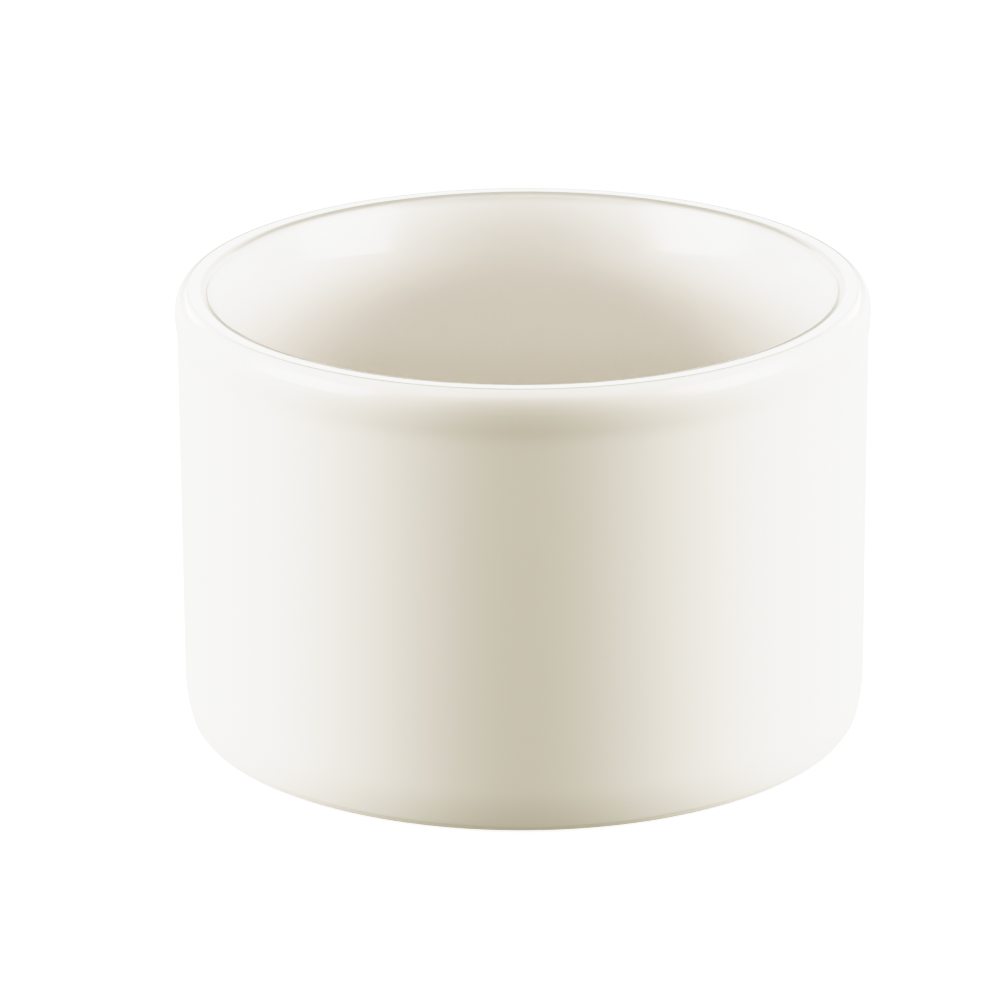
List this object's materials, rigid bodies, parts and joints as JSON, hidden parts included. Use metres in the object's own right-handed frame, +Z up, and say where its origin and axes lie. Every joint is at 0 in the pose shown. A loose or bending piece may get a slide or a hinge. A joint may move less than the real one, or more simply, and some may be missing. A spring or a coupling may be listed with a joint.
{
  "type": "ramekin",
  "caption": "Plain straight-sided ivory-glazed ramekin with a thick rounded rim, a cup that flares at the mouth and a bare foot ring round a shallow glazed recess.",
  "frame": {"origin": "middle of the plane that the foot ring stands on", "axes": "+Z up, along the axis that the whole ramekin is turned about; +X and +Y are any two level directions at right angles"},
  "size_m": [0.08, 0.08, 0.052],
  "materials": {
    "fired_clay": "bare, smoothed by a wet sponge, matt",
    "ivory_glaze": "high gloss"
  },
  "bodies": {
    "root": {"clay_body": "fired_clay", "glaze_coat": "ivory_glaze", "recess_glaze": "ivory_glaze"}
  },
  "joints": []
}
